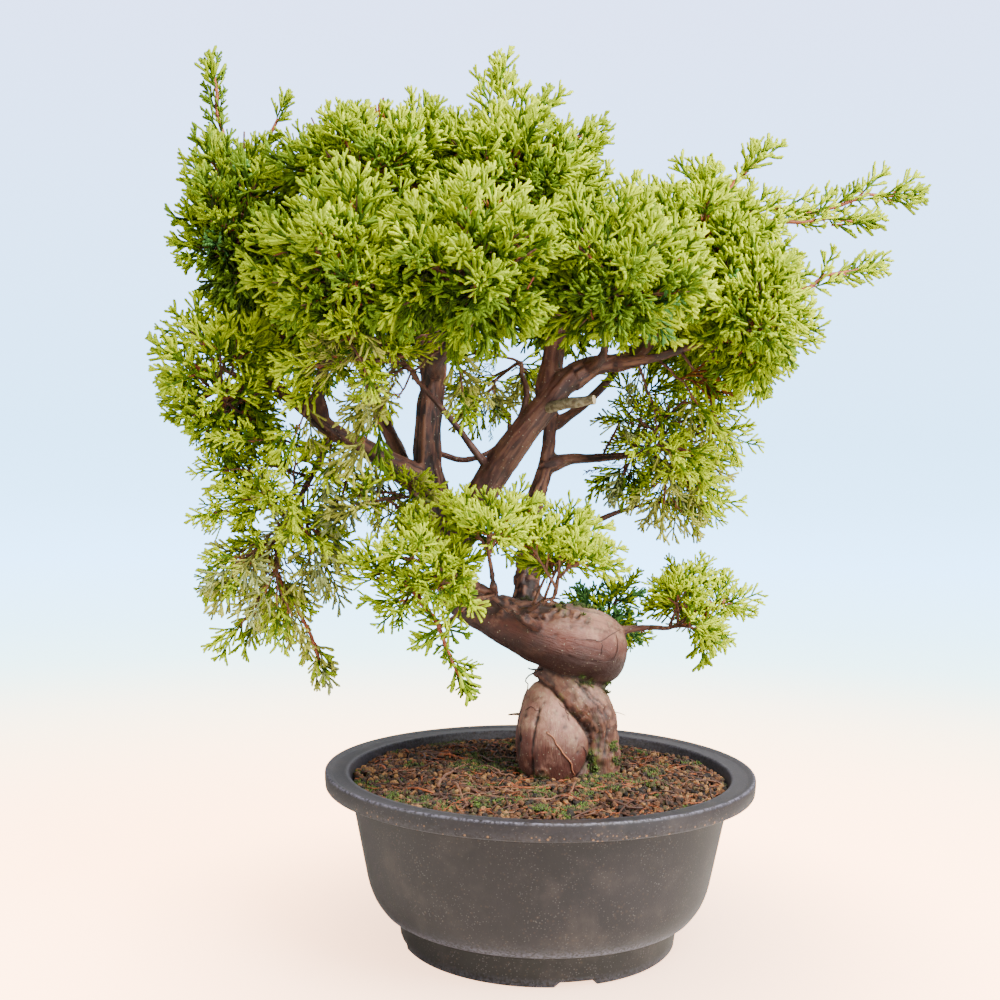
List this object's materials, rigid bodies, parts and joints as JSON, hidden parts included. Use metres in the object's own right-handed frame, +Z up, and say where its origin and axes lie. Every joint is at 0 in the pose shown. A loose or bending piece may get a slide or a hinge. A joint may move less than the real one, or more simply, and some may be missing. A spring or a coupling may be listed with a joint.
{
  "type": "juniper bonsai in training pot",
  "caption": "Itoigawa Chinese juniper bonsai with a coiled trunk base, a spreading crown of cord-like foliage and hanging sprays, standing in a round soil-filled training pot.",
  "frame": {"origin": "on the pot's axis, in the plane that its foot ring stands on", "axes": "+Z up along the pot's axis, -Y towards the front of the tree, +X to the right seen from the front"},
  "size_m": [0.38, 0.27, 0.435],
  "materials": {
    "pot_plastic": "satin",
    "soil": "rough",
    "bark": "rough",
    "sawn_wood": "rough",
    "foliage": "matte",
    "shade_foliage": "matte"
  },
  "bodies": {
    "root": {"pot": "pot_plastic", "soil": "soil", "trunk": "bark", "limb_right": "bark", "bough_right_upper": "bark", "bough_right_lower": "bark", "bough_right_front": "bark", "limb_upper": "bark", "cut_stub": "sawn_wood", "back_stem": "bark", "bough_back_right": "bark", "bough_back_far": "bark", "twig_right_long": "bark", "twig_middle": "bark", "twig_crossing": "bark", "twig_level": "bark", "bough_left": "bark", "bough_left_rising": "bark", "twig_hanging": "bark", "limb_back_left": "bark", "bough_left_crown": "bark", "bough_top_left": "bark", "bough_front": "bark", "bough_back": "bark", "bough_back_top": "bark", "bough_low_front": "bark", "twig_pad_middle": "bark", "twig_pad_right": "bark", "twig_low_right": "bark", "twig_behind": "bark", "twig_inner_left": "bark", "foliage_left_crown": "foliage", "foliage_left_outer": "foliage", "foliage_left_front": "foliage", "foliage_left_low_front": "shade_foliage", "foliage_top_left": "foliage", "foliage_top": "foliage", "foliage_front": "foliage", "foliage_right_front": "foliage", "foliage_right_crown": "foliage", "foliage_right_end": "foliage", "foliage_right_hanging": "shade_foliage", "foliage_left_hanging": "shade_foliage", "foliage_pad_left": "foliage", "foliage_pad_middle": "foliage", "foliage_pad_right": "foliage", "foliage_low_right": "foliage", "foliage_behind_coil": "foliage", "foliage_back_left": "foliage", "foliage_back": "foliage", "foliage_back_middle": "foliage", "foliage_back_top": "foliage", "foliage_back_right": "foliage", "foliage_inner_left": "shade_foliage", "foliage_middle": "shade_foliage"}
  },
  "joints": []
}
